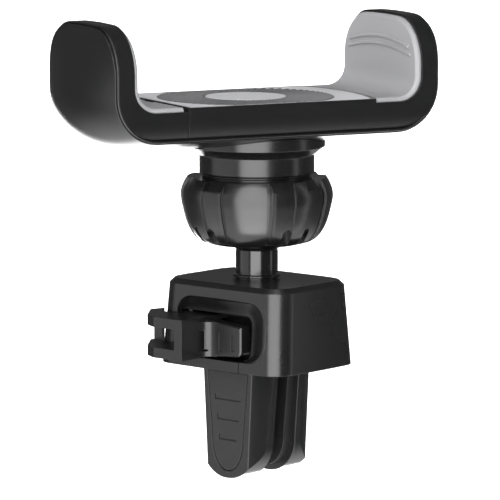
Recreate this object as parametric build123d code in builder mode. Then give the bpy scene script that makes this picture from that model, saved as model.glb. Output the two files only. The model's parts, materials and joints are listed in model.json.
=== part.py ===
from build123d import *
from math import cos, radians, sin, sqrt
import os

# Air vent phone holder: a spring clip for a vent blade, a ball joint with a
# lock nut, and a cradle whose left jaw slides on springs.
# Millimetres, +Z away from the vent. The origin is the middle of the gap
# between the two clip pads. X runs along the cradle, towards its fixed jaw.

# Heights along the main axis
paddle_length = 23.3        # clip paddles below the housing
grip_height = 11.4          # paddle tips to the middle of the grip
housing_height = 17.75
neck_height = 13.4          # housing roof to the ball centre
cradle_height = 41.3        # ball centre to the top of the jaws

base_z = paddle_length - grip_height
roof_z = base_z + housing_height
ball_z = roof_z + neck_height
jaw_top_z = ball_z + cradle_height
tip_z = -grip_height

# Clip housing
clip_turn = -68.0           # the clip is swivelled under the cradle
base_half_width = 16.9
base_half_depth = 13.15
side_draft = 0.9            # how much narrower the roof is, on each side
front_draft = 1.35
housing_corner = 5.0
housing_bow = 0.45          # the four sides are slightly convex
roof_bevel = 1.0
roof_wall = 4.2
side_wall = 7.6             # from the chamber to the housing's sides
chamber_corner = 1.2
core_wall = 1.7
core_rib = 2.7              # between the chamber and the cored-out sides
core_length = 9.0
core_back = 4.0             # the left core lies behind the lever's pin
core_corner = 0.8
core_roof = 2.5
recess_side = 3.9           # from the housing's sides to the recess
recess_middle = 1.6
recess_margin = 1.35        # below the roof
recess_corner = 5.0
scoop_side = 7.4
scoop_middle = -0.9
scoop_corner = 1.6

# Sizes inside the clip follow the housing's depth and height
depth_share = base_half_depth / 13.15
height_share = housing_height / 17.75
roof_half_width = base_half_width - side_draft
roof_half_depth = base_half_depth - front_draft
chamber_half_width = base_half_width - side_wall
chamber_half_depth = 10.4 * depth_share

# Clip jaws, in the clip's own directions: across, forward and up
pin_forward = 4.2 * depth_share
pin_rise = 4.6              # above the housing's underside
pin_radius = 1.0
pin_seat = 2.2              # how far a pin sits in the housing
running_clearance = 0.05
hub_radius = 2.4
hub_end_gap = 0.4
arm_forward = 3.6 * depth_share
arm_wall = 2.2
arm_rise = 12.4 * height_share
arm_half_width = 5.0
shell_forward = 9.2 * depth_share    # outer face of a paddle
shell_half_width = 6.7
shell_side_bow = 0.35
shell_face_bow = 0.12
pad_seat = 3.55 * depth_share        # where the rubber pad meets the shell
seat_half_width = 8.8
tip_narrowing = 1.3
tip_round = 7.6
shoulder_rise = 0.8         # top of a paddle inside the housing
shoulder_inset = 0.7
web_drop = 0.3
pad_top_gap = 0.6
shell_wall = 1.6
shell_core_inset = 2.4
pad_inset = 1.35
pad_face = 1.27             # half the gap for the vent blade
pad_rib_gap = 0.9
pad_rib_pitch = 3.0
pad_rib_depth = 0.4
grip_half_width = 5.45
grip_tip = 1.6              # above the paddle's tip
grip_top_gap = 1.0
grip_depth = 0.8
grip_gap = 0.15
grip_groove = 0.4
grip_groove_depth = 0.35
grip_groove_drop = 6.8      # first groove below the housing
grip_groove_pitch = 4.2
grip_groove_length = 7.2
grip_groove_step = 1.1      # each groove is shorter than the one above
grip_hook = 1.2
tooth_radius = 1.0
tooth_clearance = 0.15
tooth_half_width = 3.0
jaw_swing = 9.8             # how far each jaw opens, in degrees
jaw_spring_radius = 1.65 * height_share
jaw_spring_wire = 0.5
jaw_spring_drop = 1.9 * height_share    # its axis below the top of the arms
spring_seat = 1.0

pin_z = base_z + pin_rise
top_z = base_z + shoulder_rise
pin_reach = chamber_half_width + pin_seat
hub_half_length = chamber_half_width - hub_end_gap
spring_rise = arm_rise - jaw_spring_drop

# Release lever in the front face
keeper_half_width = 6.7
keeper_height = 2.1
keeper_seam = 0.3
keeper_seat = 2.0
lever_pin_inset = 6.3       # from the housing's side
lever_pin_gap = 2.0         # in front of the jaws' hubs
lever_pin_floor = 0.8
lever_pin_roof = 2.45
lever_hub_radius = 2.2
hub_pocket_gap = 0.3
stem_back = 1.2
lever_floor = 2.4
lever_height = 8.5 * height_share
lever_play = 0.2
nub_gap = 0.25              # between the nub and the front jaw's arm
nub_width = 2.2
nub_height = 1.0
fork_reach = 7.85           # in front of the housing
fork_right = -2.2
fork_face = 8.0
fork_slant = 3.1
fork_slant_back = 1.7
fork_overhang = 1.3         # beyond the housing's side
fork_side_back = 0.25
fork_tip_inset = 1.2
fork_tip_back = 3.3
fork_round = 1.4
fork_stem_inset = 6.9
fork_web = 2.1
prong_wall = 2.1
corner_gap = 0.35
face_gap = 0.5
tab_reach = 7.2
tab_proud = 0.15
tab_wall = 2.9
tab_corner = 1.4
tab_blend = 2.7
tab_bevel = 0.3
tab_top_root = 7.8 * height_share
tab_top_end = 7.0 * height_share
tab_low_end = 0.8
tab_groove = 0.45
tab_groove_first = -2.0
tab_groove_pitch = 3.35
tab_groove_length = 4.4 * height_share
tab_groove_step = 0.5
tab_groove_rise = 3.55 * height_share
tab_groove_depth = 0.3
tab_hook = 1.0

lever_z = base_z + lever_floor
fork_stem = fork_stem_inset - base_half_width
lever_pin_across = lever_pin_inset - base_half_width
lever_pin_forward = pin_forward + hub_radius + lever_pin_gap
lever_inner = lever_pin_forward - stem_back
nub_face = arm_forward + arm_wall + nub_gap
fork_front = base_half_depth + fork_reach
tab_front = base_half_depth + tab_proud
opening_floor = lever_floor - lever_play
opening_height = lever_height + 3 * lever_play

# Ball joint
ball_radius = 8.5
neck_radius = 4.45
flange_radius = 4.95
flange_rise = 0.9           # its top above the roof
flange_height = 0.5
shank_radius = 2.95
nut_flats = 8.0
nut_gap = 0.1
stem_nut_height = 2.4
liner_wall = 1.06
liner_clearance = 0.06
liner_play = 0.08
skirt_radius = 10.9
skirt_floor = 0.5
thread_clearance = 0.08
collar_radius = 12.0
collar_floor = 9.0          # above the ball centre
collar_height = 4.8
collar_turn = 1.2
flare_radius = 14.2
flare_drop = 0.6
flare_edge = 1.9
spigot_radius = 7.9
spigot_gap = 0.1
spigot_root = 0.5

# Lock nut: heights above the ball centre
nut_floor = -5.8
nut_top = 8.0
nut_lip_radius = 14.5
nut_shoulder_radius = 15.5
nut_shoulder = 6.1
nut_radius = 15.9
nut_widest = 4.1
nut_belly_radius = 15.6
nut_belly = 2.2
nut_hip_radius = 14.35
nut_hip = -2.1
nut_foot_radius = 12.2
nut_foot = -5.0
nut_mouth_radius = 10.4
nut_step = 0.3
nut_groove_depth = 0.95
nut_groove_step = 0.3       # depth of the groove's bevelled rim
nut_groove_angle = 2.8
nut_rim_angle = 6.2
nut_hollow = 0.28
nut_hollow_bevel = 1.3
nut_pocket_width = 1.9
nut_pocket_height = 4.2
nut_pocket_rise = -3.9
nut_pocket_floor = 11.9
nut_view_angle = -117.0     # direction from the axis towards the viewer
nut_panel_middle = -8.0
nut_panel_half_angle = 19.5
nut_crease_angle = 38.6
nut_pocket_angle = 35.0

# Cradle
cradle_depth = 33.0
cradle_middle = -2.85       # middle of the closed cradle, left of the ball axis
cradle_half_length = 36.35
jaw_wall = 3.5              # side band of a jaw
outer_corner = 9.0
inner_corner = 5.0
band_floor = 18.05          # above the ball centre
floor_rise = 5.8            # jaw floor above the band's lower edge
deck_rise = 6.6             # platform top above the band's lower edge
seam_inset = 15.6           # where the sliding jaw meets the body
seam_gap = 0.15
top_corner = 10.0
top_crown = 0.7
cover_edge = 0.6
cover_crown = 3.1
cover_wall = 1.6
cover_inset = 0.5
cover_side_wall = 1.4
cover_lean_rise = 9.0
cover_top_reach = 0.5
jaw_side_wall = 3.2
jaw_end_wall = 6.7
jaw_seam_wall = 2.3
jaw_floor_wall = 1.6
jaw_core_corner = 1.5
pad_proud = 1.1
floor_proud = 0.85
pad_bevel = 0.55
pad_margin = 0.5
pad_seam_inset = 1.0
pad_notch_length = 1.6
pad_notch_width = 5.0
ridge_drops = (4.7, 6.3)    # below the top of the jaw
ridge_half_width = 12.6
ridge_arch = 1.5
ridge_width = 0.6
ridge_height = 0.35
platform_inset = 14.3       # from the right end
platform_bulge = 2.8
platform_rim = 0.8
plate_wall = 1.2
ring_shift = -0.4
ring_margin = 2.6
ring_edge = 0.5
disc_radius = 8.35
inlay_depth = 0.5
inlay_proud = 0.15
ring_teeth = 36
ring_tooth_gap = 0.8
ring_tooth_inset = 2.5
ring_tooth_depth = 0.35
deck_wall = 1.3
cavity_end_wall = 1.6
cavity_right = 7.5          # from the right end
cavity_side = 3.2
cavity_corner = 2.0
tongue_side = 6.0           # from the cradle's side to an arm
tongue_height = 2.4
tongue_play = 0.2
tongue_root = 0.5
post_radius = 3.2
post_gap = 1.2
anchor_inset = 9.0
anchor_radius = 1.0
anchor_drop = 3.8
spring_room = 14.5
spring_radius = 1.15
spring_wire = 0.4
screw_radius = 1.4
screw_head_radius = 2.5
screw_head = 1.4
screw_play = 0.1
cross_length = 2.6
cross_width = 0.7
screw_reach = 6.0           # below the band's lower edge

band_z = ball_z + band_floor
floor_z = band_z + floor_rise
deck_z = band_z + deck_rise
plate_floor = deck_z - plate_wall
deck_under = plate_floor - deck_wall
half_depth = cradle_depth / 2
left_x = cradle_middle - cradle_half_length
right_x = cradle_middle + cradle_half_length
seam_x = left_x + seam_inset
body_left = seam_x + seam_gap / 2
jaw_right = seam_x - seam_gap / 2
platform_end = right_x - platform_inset
ring_centre = (seam_x + platform_end) / 2 + ring_shift
ring_radius = ring_centre - seam_x - ring_margin
anchor_x = right_x - anchor_inset
tongue_end = anchor_x - spring_room
tongue_width = cradle_depth - 2 * tongue_side
tongue_gap = 2 * (post_radius + post_gap)
arm_y = (tongue_width + tongue_gap) / 4
spring_z = deck_under - tongue_play - tongue_height / 2

os.makedirs("parts", exist_ok=True)


# Planes
def plan(height, turn=clip_turn):
    """Horizontal plane of the clip: x across, y towards its back."""
    return Plane.XY.offset(height).rotated((0, 0, turn))


def section(turn=clip_turn):
    """Upright plane through the clip: x forward, y up."""
    level = plan(0, turn)
    return Plane(origin=(0, 0, 0), x_dir=-level.y_dir, z_dir=-level.x_dir)


def facing(forward, turn=clip_turn):
    """Upright plane parallel to the clip's front: x across, y up."""
    level = plan(0, turn)
    return Plane(origin=level.y_dir * -forward, x_dir=level.x_dir, z_dir=-level.y_dir)


# Outlines that more than one piece uses
def housing_outline(height, w, d):
    """Rounded rectangle with slightly bowed sides, from its half width and half depth."""
    with BuildSketch(plan(height)) as outline:
        with BuildLine():
            ThreePointArc((-w, -d), (0, -d - housing_bow), (w, -d))
            ThreePointArc((w, -d), (w + housing_bow, 0), (w, d))
            ThreePointArc((w, d), (0, d + housing_bow), (-w, d))
            ThreePointArc((-w, d), (-w - housing_bow, 0), (-w, -d))
        make_face()
        fillet(outline.vertices(), housing_corner)
    return outline.sketch


def tongue_outline(forward, turn, half, tip, top):
    """Tongue shape, from its rounded tip up to a given height."""
    low = half - tip_narrowing
    with BuildSketch(facing(forward, turn)) as outline:
        with BuildLine():
            Polyline((-low, tip + tip_round), (-half, top), (half, top), (low, tip + tip_round))
            ThreePointArc((low, tip + tip_round), (0.62 * low, tip + 0.2 * tip_round), (0, tip))
            ThreePointArc((0, tip), (-0.62 * low, tip + 0.2 * tip_round), (-low, tip + tip_round))
        make_face()
    return outline.sketch


def paddle_section(height, turn, narrowing):
    """Plan of a paddle: flat seat inside, bowed sides, narrower outer face."""
    seat, face = seat_half_width - narrowing, shell_half_width - narrowing
    middle = (pad_seat + shell_forward) / 2
    bulge = (seat + face) / 2 + shell_side_bow
    with BuildSketch(plan(height, turn)) as outline:
        with BuildLine():
            Line((seat, -pad_seat), (-seat, -pad_seat))
            ThreePointArc((-seat, -pad_seat), (-bulge, -middle), (-face, -shell_forward))
            ThreePointArc(
                (-face, -shell_forward), (0, -shell_forward - shell_face_bow), (face, -shell_forward)
            )
            ThreePointArc((face, -shell_forward), (bulge, -middle), (seat, -pad_seat))
        make_face()
    return outline.sketch


def jaw_side_outline(inset=0.0):
    """Side view of the cradle: straight sides, rounded top corners, crowned top."""
    w, top, low = half_depth - inset, jaw_top_z - inset, band_z - 2 * cover_crown
    with BuildSketch(Plane.YZ) as outline:
        with BuildLine():
            Polyline((-w, top - top_crown), (-w, low), (w, low), (w, top - top_crown))
            ThreePointArc((w, top - top_crown), (0, top), (-w, top - top_crown))
        make_face()
        fillet(outline.vertices().group_by(Axis.Z)[-1], top_corner - inset)
    return outline.sketch


def side_trim(inset=0.0):
    """Solid that trims a jaw to its side view."""
    with BuildPart() as block:
        extrude(jaw_side_outline(inset), amount=2 * cradle_half_length, both=True)
    return block.part


def platform_outline(height, inset, left):
    """Plan of the platform: straight sides and a bowed right end."""
    w, right = half_depth - inset, platform_end - inset
    with BuildSketch(Plane.XY.offset(height)) as outline:
        with BuildLine():
            Polyline((right, w), (left, w), (left, -w), (right, -w))
            ThreePointArc((right, -w), (right + platform_bulge, 0), (right, w))
        make_face()
    return outline.sketch


def jaw_band(side, start, floor):
    """Front view of one jaw, an L from the seam round to the top. Side is -1 or 1."""
    outer = cradle_middle + side * cradle_half_length
    inner = outer - side * jaw_wall
    reach = jaw_top_z + 1
    with BuildSketch(Plane.XZ) as band:
        with BuildLine():
            FilletPolyline((start, band_z), (outer, band_z), (outer, reach), radius=outer_corner)
            Polyline((outer, reach), (inner, reach))
            FilletPolyline((inner, reach), (inner, floor), (start, floor), radius=inner_corner)
            Line((start, floor), (start, band_z))
        make_face()
    return band.sketch


def crown_outline(plane, half_width, edge, crown, up=1):
    """Crescent under the band's lower face, as deep as the crown in its middle."""
    w, rise = half_width, 0 if edge else -0.01
    with BuildSketch(plane) as crescent:
        with BuildLine():
            Polyline((-w, -up * edge), (-w, -up * rise), (w, -up * rise), (w, -up * edge))
            ThreePointArc((w, -up * edge), (0, -up * crown), (-w, -up * edge))
        make_face()
    return crescent.sketch


def coil(start, direction, length, mean_radius, wire, turns):
    """Coil spring with a square wire, its ends flush with the given length."""
    along = Vector(direction).normalized()
    with BuildPart() as spring:
        with BuildLine() as route:
            Helix(
                (length - wire) / turns, length - wire, mean_radius,
                center=Vector(start) + along * (wire / 2), direction=along,
            )
        with BuildSketch(Plane(origin=route.line @ 0, z_dir=route.line % 0)):
            Rectangle(wire, wire)
        sweep(is_frenet=True)
    return spring.part


# Clip housing
with BuildPart() as clip_housing:
    add(housing_outline(base_z, base_half_width, base_half_depth))
    add(housing_outline(roof_z, roof_half_width, roof_half_depth))
    loft()
    chamfer(clip_housing.faces().sort_by(Axis.Z)[-1].edges(), roof_bevel)
    # Chamber for the jaws and cored-out sides
    with BuildSketch(plan(base_z)):
        RectangleRounded(2 * chamber_half_width, 2 * chamber_half_depth, chamber_corner)
    extrude(amount=housing_height - roof_wall, mode=Mode.SUBTRACT)
    core_inner = chamber_half_width + core_rib
    core_outer = roof_half_width - core_wall
    core_middle = (core_inner + core_outer) / 2
    with BuildSketch(plan(base_z)):
        with Locations((core_middle, 0), (-core_middle, core_back)):
            RectangleRounded(core_outer - core_inner, core_length, core_corner)
    extrude(amount=housing_height - core_roof, mode=Mode.SUBTRACT)
    # Scooped recess in the front face, with the opening for the lever in it
    with BuildSketch(facing(lever_pin_forward)):
        with Locations((scoop_middle, base_z + opening_floor + opening_height / 2)):
            RectangleRounded(2 * (base_half_width - scoop_side), opening_height, scoop_corner)
    with BuildSketch(facing(base_half_depth + 1.2)):
        with Locations((recess_middle, base_z + (opening_floor + housing_height - recess_margin) / 2)):
            RectangleRounded(2 * (base_half_width - recess_side),
                             housing_height - recess_margin - opening_floor, recess_corner)
    loft(mode=Mode.SUBTRACT)
    with BuildSketch(facing(lever_inner)):
        with Locations((fork_stem - 2 * lever_play, base_z + opening_floor)):
            Rectangle(fork_right - fork_stem + 4 * lever_play, opening_height,
                      align=(Align.MIN, Align.MIN))
    extrude(amount=base_half_depth - lever_inner + 2.2, mode=Mode.SUBTRACT)
    # Bores for the two jaw pins, the lever pin and the stem
    with BuildSketch(section()):
        with Locations((pin_forward, pin_z), (-pin_forward, pin_z)):
            Circle(pin_radius)
    extrude(amount=pin_reach, both=True, mode=Mode.SUBTRACT)
    with BuildSketch(plan(base_z + lever_pin_floor)):
        with Locations((lever_pin_across, -lever_pin_forward)):
            Circle(pin_radius)
    extrude(amount=housing_height - lever_pin_floor - lever_pin_roof, mode=Mode.SUBTRACT)
    with BuildSketch(plan(base_z + opening_floor)):
        with Locations((lever_pin_across, -lever_pin_forward)):
            Circle(lever_hub_radius + hub_pocket_gap)
    extrude(amount=opening_height, mode=Mode.SUBTRACT)
    with BuildSketch(plan(roof_z)):
        Circle(shank_radius + running_clearance)
    extrude(amount=-roof_wall - 1, mode=Mode.SUBTRACT)
    with BuildSketch(plan(roof_z - roof_wall)):
        RegularPolygon((nut_flats + 2 * nut_gap) / 2, 6, major_radius=False)
    extrude(amount=stem_nut_height, mode=Mode.SUBTRACT)
    # Gap in the front sill that the keeper closes
    with BuildSketch(facing(chamber_half_depth - 1)):
        with Locations((0, base_z)):
            Rectangle(2 * keeper_half_width, opening_floor + lever_play, align=(Align.CENTER, Align.MIN))
    extrude(amount=base_half_depth, mode=Mode.SUBTRACT)
clip_housing.part.label = "clip_housing"
export_step(clip_housing.part, "parts/clip_housing.step")

with BuildPart() as lever_keeper:
    add(housing_outline(base_z, base_half_width, base_half_depth))
    add(housing_outline(roof_z, roof_half_width, roof_half_depth))
    loft()
    with BuildSketch(facing(chamber_half_depth)):
        with Locations((0, base_z)):
            Rectangle(2 * keeper_half_width, keeper_height, align=(Align.CENTER, Align.MIN))
    extrude(amount=base_half_depth, mode=Mode.INTERSECT)
    # Fine seams at its two ends
    with BuildSketch(facing(chamber_half_depth + keeper_seat)):
        with Locations((-keeper_half_width, base_z), (keeper_half_width, base_z)):
            Rectangle(keeper_seam, 3 * keeper_height)
    extrude(amount=base_half_depth, mode=Mode.SUBTRACT)
lever_keeper.part.label = "lever_keeper"
export_step(lever_keeper.part, "parts/lever_keeper.step")

# Ball stem, its nut inside the roof, and the pins
with BuildPart() as stem_nut:
    with BuildSketch(plan(roof_z - roof_wall)):
        RegularPolygon(nut_flats / 2, 6, major_radius=False)
        Circle(shank_radius, mode=Mode.SUBTRACT)
    extrude(amount=stem_nut_height)
stem_nut.part.label = "stem_nut"
export_step(stem_nut.part, "parts/stem_nut.step")

with BuildPart() as ball_stem:
    with BuildSketch(Plane.XZ):
        with BuildLine():
            neck_top = ball_z - sqrt(ball_radius**2 - neck_radius**2)
            flange_top = roof_z + flange_rise
            Polyline(
                (0, ball_z + ball_radius), (0, roof_z - roof_wall), (shank_radius, roof_z - roof_wall),
                (shank_radius, roof_z), (neck_radius, roof_z), (neck_radius, flange_top - flange_height),
                (flange_radius, flange_top - 0.8 * flange_height), (flange_radius, flange_top),
                (neck_radius, flange_top + 0.4 * flange_height), (neck_radius, neck_top),
            )
            ThreePointArc((neck_radius, neck_top), (ball_radius, ball_z), (0, ball_z + ball_radius))
        make_face()
    revolve(axis=Axis.Z)
ball_stem.part.label = "ball_stem"
export_step(ball_stem.part, "parts/ball_stem.step")

with BuildPart() as jaw_pins:
    with BuildSketch(section()):
        with Locations((pin_forward, pin_z), (-pin_forward, pin_z)):
            Circle(pin_radius)
    extrude(amount=pin_reach, both=True)
jaw_pins.part.label = "jaw_pins"
export_step(jaw_pins.part, "parts/jaw_pins.step")

with BuildPart() as lever_pin:
    with BuildSketch(plan(base_z + lever_pin_floor)):
        with Locations((lever_pin_across, -lever_pin_forward)):
            Circle(pin_radius)
    extrude(amount=housing_height - lever_pin_floor - lever_pin_roof)
lever_pin.part.label = "lever_pin"
export_step(lever_pin.part, "parts/lever_pin.step")

# Clip jaws: shell, rubber pad and grip inlay of each
for jaw, turn in (("front_jaw", clip_turn), ("rear_jaw", clip_turn + 180)):
    with BuildPart() as shell:
        add(paddle_section(top_z, turn, 0))
        add(paddle_section(tip_z - 0.01, turn, tip_narrowing))
        loft()
        tongue = tongue_outline(0, turn, seat_half_width, tip_z, top_z + 1)
        extrude(tongue, amount=2 * shell_forward, both=True, mode=Mode.INTERSECT)
        # Hub on the pin, the web down to the paddle, and the arm up to the spring
        shoulder = shell_forward - web_drop
        with BuildSketch(section(turn)):
            Polygon(
                (pad_seat, base_z - 1.0), (pad_seat, base_z - 0.4), (pin_forward - 1.8, base_z - web_drop),
                (pin_forward - hub_radius + 0.2, pin_z), (pin_forward + hub_radius - 0.2, pin_z),
                (pin_forward + hub_radius - 0.1, base_z + 2 * shoulder_rise), (shoulder, top_z),
                (shoulder, base_z - 0.2), align=None,
            )
        extrude(amount=shell_half_width - shoulder_inset, both=True)
        with BuildSketch(section(turn)):
            with Locations((pin_forward, pin_z)):
                Circle(hub_radius)
        extrude(amount=hub_half_length, both=True)
        with BuildSketch(section(turn)):
            with Locations((arm_forward, pin_z)):
                Rectangle(arm_wall, arm_rise - pin_rise, align=(Align.MIN, Align.MIN))
        extrude(amount=arm_half_width, both=True)
        with BuildSketch(facing(arm_forward, turn)):
            with Locations((0, base_z + spring_rise)):
                Circle(spring_seat)
        extrude(amount=-spring_seat)
        # Meshing tooth on the front jaw, its notch on the rear jaw
        tooth_z = pin_z + pin_forward * sin(radians(jaw_swing / 2))
        if jaw == "front_jaw":
            with BuildSketch(section(turn)):
                with Locations((0, tooth_z)):
                    Circle(tooth_radius)
                with Locations((0, (tooth_z + pin_z) / 2)):
                    Rectangle(pin_forward, 1.5 * tooth_radius, align=(Align.MIN, Align.CENTER))
            extrude(amount=tooth_half_width, both=True)
        else:
            with BuildSketch(section(turn)):
                with Locations((0, pin_z)):
                    Rectangle(pin_forward, 2 * hub_radius - 0.2, align=(Align.MIN, Align.CENTER))
                with Locations((0, tooth_z)):
                    Circle(tooth_radius + tooth_clearance, mode=Mode.SUBTRACT)
            extrude(amount=tooth_half_width, both=True)
        with BuildSketch(section(turn)):
            with Locations((pin_forward, pin_z)):
                Circle(pin_radius + running_clearance)
        extrude(amount=2 * hub_half_length, both=True, mode=Mode.SUBTRACT)
        # Cored out behind the pad, and a bed for the grip inlay
        core = tongue_outline(
            pad_seat, turn, seat_half_width - shell_core_inset, tip_z + shell_core_inset, base_z - 2.0
        )
        extrude(core, amount=shell_forward - shell_wall - grip_depth - pad_seat, mode=Mode.SUBTRACT)
        bed = tongue_outline(
            shell_forward - grip_depth, turn, grip_half_width + grip_gap,
            tip_z + grip_tip - grip_gap, base_z - grip_top_gap + grip_gap,
        )
        extrude(bed, amount=2 * grip_depth, mode=Mode.SUBTRACT)
    shell.part.label = f"{jaw}_shell"
    export_step(shell.part, f"parts/{jaw}_shell.step")

    with BuildPart() as pad:
        face = tongue_outline(
            pad_face, turn, seat_half_width - pad_inset, tip_z + pad_inset, base_z - pad_top_gap
        )
        extrude(face, amount=pad_seat - pad_face)
        # Shallow grooves across the face that grips the vent blade
        with BuildSketch(facing(pad_face, turn)):
            with GridLocations(0, pad_rib_pitch, 1, 6):
                Rectangle(2 * seat_half_width, pad_rib_gap)
        extrude(amount=pad_rib_depth, mode=Mode.SUBTRACT)
    pad.part.label = f"{jaw}_pad"
    export_step(pad.part, f"parts/{jaw}_pad.step")

    with BuildPart() as grip:
        inlay = tongue_outline(
            shell_forward - grip_depth, turn, grip_half_width, tip_z + grip_tip, base_z - grip_top_gap
        )
        extrude(inlay, amount=grip_depth)
        # Three J-shaped grooves, shorter towards the tip
        for row in range(3):
            length = grip_groove_length - grip_groove_step * row
            height = base_z - grip_groove_drop - grip_groove_pitch * row
            with BuildSketch(facing(shell_forward, turn)):
                with Locations((0, height)):
                    SlotOverall(length, grip_groove)
                with Locations(((grip_groove - length) / 2, height + (grip_hook - grip_groove) / 2)):
                    SlotOverall(grip_hook, grip_groove, rotation=90)
            extrude(amount=-grip_groove_depth, mode=Mode.SUBTRACT)
    grip.part.label = f"{jaw}_grip"
    export_step(grip.part, f"parts/{jaw}_grip.step")

# Release lever: fork outside, stem through the opening, tab in the recess
with BuildPart() as release_lever:
    side_reach = base_half_width + fork_overhang
    with BuildSketch(plan(lever_z)):
        with BuildLine():
            slant = fork_right - fork_face - fork_slant
            side_corner = (-side_reach, fork_side_back - base_half_depth)
            FilletPolyline(
                (fork_right, -fork_front), (fork_right - fork_face, -fork_front),
                (slant, fork_slant_back - fork_front), side_corner, radius=fork_round,
            )
            stem_front = fork_side_back + fork_tip_back - base_half_depth
            Polyline(
                side_corner, (fork_tip_inset - side_reach, stem_front), (fork_stem, stem_front),
                (fork_stem, -lever_inner), (fork_right, -lever_inner - stem_back), (fork_right, -fork_front),
            )
        make_face()
    extrude(amount=lever_height)
    # The fork wraps the housing's corner without touching it
    with BuildSketch(plan(lever_z)):
        w, d = base_half_width + corner_gap, base_half_depth + face_gap
        with BuildLine():
            FilletPolyline((-w, 0), (-w, -d), (fork_stem, -d), radius=housing_corner + face_gap / 2)
            Polyline((fork_stem, -d), (fork_stem, 0), (-w, 0))
        make_face()
    extrude(amount=lever_height, mode=Mode.SUBTRACT)
    with BuildSketch(plan(lever_z)):
        with Locations((lever_pin_across, -lever_pin_forward)):
            Circle(lever_hub_radius)
    extrude(amount=lever_height)
    # Slot between the two prongs
    with BuildSketch(facing(base_half_depth - 1)):
        with Locations((fork_right - fork_web, lever_z + lever_height / 2)):
            Rectangle(2 * base_half_width, lever_height - 2 * prong_wall, align=(Align.MAX, Align.CENTER))
    extrude(amount=fork_reach + 2, mode=Mode.SUBTRACT)
    # Tab that blends into the fork, with bevelled free edges and three short grooves
    with BuildSketch(facing(tab_front - tab_wall)) as tab:
        with BuildLine():
            Polyline(
                (fork_right - 0.5, lever_z), (tab_reach, lever_z + tab_low_end),
                (tab_reach, lever_z + tab_top_end), (fork_right - 0.5, lever_z + tab_top_root),
                (fork_right - 0.5, lever_z),
            )
        make_face()
        fillet(tab.vertices().sort_by_distance(facing(0).from_local_coords((99, lever_z, 0)))[:2], tab_corner)
    extrude(amount=tab_wall)
    tab_root, tab_middle = (
        facing(tab_front).from_local_coords((across, lever_z + lever_height / 2, 0))
        for across in (fork_right, (fork_right + tab_reach) / 2)
    )
    tab_face = release_lever.faces().sort_by_distance(tab_middle)[0]
    chamfer(tab_face.edges().sort_by_distance(tab_root)[1:], tab_bevel)
    with BuildSketch(plan(lever_z + tab_bevel)):
        with BuildLine():
            blend_end = (fork_right + tab_blend, -tab_front)
            blend_top = (fork_right, -tab_front - tab_blend)
            RadiusArc(blend_end, blend_top, -tab_blend)
            Polyline(
                blend_top, (fork_right - 0.5, -tab_front - tab_blend),
                (fork_right - 0.5, tab_bevel - tab_front),
                (fork_right + tab_blend, tab_bevel - tab_front), blend_end,
            )
        make_face()
    extrude(amount=tab_top_root - 2 * tab_bevel)
    with BuildSketch(facing(tab_front + tab_blend)):
        for number in range(3):
            across = tab_groove_first + tab_groove_pitch * number
            length = tab_groove_length - tab_groove_step * number
            with Locations((across, lever_z + tab_groove_rise)):
                SlotOverall(length, tab_groove, rotation=90)
            foot = lever_z + tab_groove_rise - (length - tab_groove) / 2
            with Locations((across + (tab_hook - tab_groove) / 2, foot)):
                SlotOverall(tab_hook, tab_groove)
    extrude(amount=-tab_blend - tab_groove_depth, mode=Mode.SUBTRACT)
    # Nub that pushes the front jaw's arm
    with BuildSketch(facing(nub_face)):
        with Locations((fork_right, lever_z + lever_height - nub_height)):
            Rectangle(nub_width, nub_height, align=(Align.MAX, Align.MIN))
    extrude(amount=lever_inner - nub_face + 2.0)
    with BuildSketch(plan(lever_z)):
        with Locations((lever_pin_across, -lever_pin_forward)):
            Circle(pin_radius + running_clearance)
    extrude(amount=lever_height, mode=Mode.SUBTRACT)
release_lever.part.label = "release_lever"
export_step(release_lever.part, "parts/release_lever.step")

with BuildPart() as jaw_spring:
    spring_start = section().from_local_coords((-arm_forward, base_z + spring_rise, 0))
    add(coil(spring_start, section().x_dir, 2 * arm_forward, jaw_spring_radius, jaw_spring_wire, 4))
jaw_spring.part.label = "jaw_spring"
export_step(jaw_spring.part, "parts/jaw_spring.step")


# Ball joint: two liners round the ball, the collar above and the lock nut
def liner(low, high):
    """Ring of a hollow sphere between two latitudes."""
    inner = ball_radius + liner_clearance
    outer = inner + liner_wall
    middle = (low + high) / 2
    points = [
        (r * cos(radians(a)), ball_z + r * sin(radians(a)))
        for r, a in ((inner, low), (inner, middle), (inner, high), (outer, high), (outer, middle),
                     (outer, low))
    ]
    with BuildPart() as ring:
        with BuildSketch(Plane.XZ):
            with BuildLine():
                ThreePointArc(points[0], points[1], points[2])
                Line(points[2], points[3])
                ThreePointArc(points[3], points[4], points[5])
                Line(points[5], points[0])
            make_face()
        revolve(axis=Axis.Z)
    return ring.part


for name, low, high in (("upper_ball_liner", 14, 62), ("lower_ball_liner", -36, -8)):
    liner_part = liner(low, high)
    liner_part.label = name
    export_step(liner_part, f"parts/{name}.step")

socket_radius = ball_radius + liner_clearance + liner_wall + liner_play
cover_half_width = half_depth - cover_inset

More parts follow.
